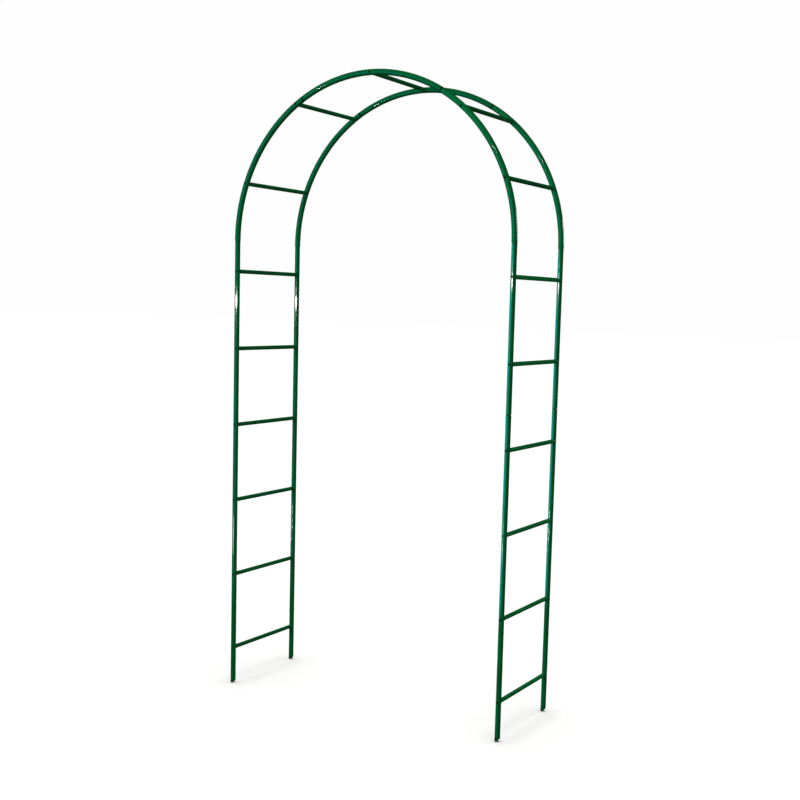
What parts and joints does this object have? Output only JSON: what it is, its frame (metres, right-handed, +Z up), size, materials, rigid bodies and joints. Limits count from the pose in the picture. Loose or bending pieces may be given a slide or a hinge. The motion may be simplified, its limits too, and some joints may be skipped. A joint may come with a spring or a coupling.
{
  "type": "garden trellis arch",
  "caption": "Free-standing round-topped garden arch: two green coated steel tube frames joined by ladder rungs up the legs and over the bow.",
  "frame": {"origin": "on the ground, in the middle of the arch", "axes": "+X across the walkway to the right, +Y along the walkway to the back, +Z up"},
  "size_m": [1.222, 0.4128, 2.376],
  "materials": {
    "post_coating": "gloss green powder coat on steel tube",
    "bow_coating": "gloss green powder coat on steel tube",
    "foot_coating": "gloss green powder coat",
    "rung_coating": "gloss green powder coat on steel tube",
    "screw_steel": "blackened steel",
    "insert_zinc": "zinc plated"
  },
  "bodies": {
    "root": {"front_left_post_lower": "post_coating", "front_left_post_middle": "post_coating", "front_left_post_upper": "post_coating", "front_right_post_lower": "post_coating", "front_right_post_middle": "post_coating", "front_right_post_upper": "post_coating", "back_left_post_lower": "post_coating", "back_left_post_middle": "post_coating", "back_left_post_upper": "post_coating", "back_right_post_lower": "post_coating", "back_right_post_middle": "post_coating", "back_right_post_upper": "post_coating", "front_bow_left": "bow_coating", "front_bow_right": "bow_coating", "back_bow_left": "bow_coating", "back_bow_right": "bow_coating", "front_bow_top": "bow_coating", "back_bow_top": "bow_coating", "front_left_foot_tip": "foot_coating", "front_right_foot_tip": "foot_coating", "back_left_foot_tip": "foot_coating", "back_right_foot_tip": "foot_coating", "left_rung_1": "rung_coating", "left_rung_2": "rung_coating", "left_rung_3": "rung_coating", "left_rung_4": "rung_coating", "left_rung_5": "rung_coating", "left_rung_6": "rung_coating", "right_rung_1": "rung_coating", "right_rung_2": "rung_coating", "right_rung_3": "rung_coating", "right_rung_4": "rung_coating", "right_rung_5": "rung_coating", "right_rung_6": "rung_coating", "bow_rung_right_low": "rung_coating", "bow_rung_right_high": "rung_coating", "bow_rung_top": "rung_coating", "bow_rung_left_high": "rung_coating", "bow_rung_left_low": "rung_coating", "front_rung_screws": "screw_steel", "back_rung_screws": "screw_steel", "front_rung_inserts": "insert_zinc", "back_rung_inserts": "insert_zinc"}
  },
  "joints": []
}
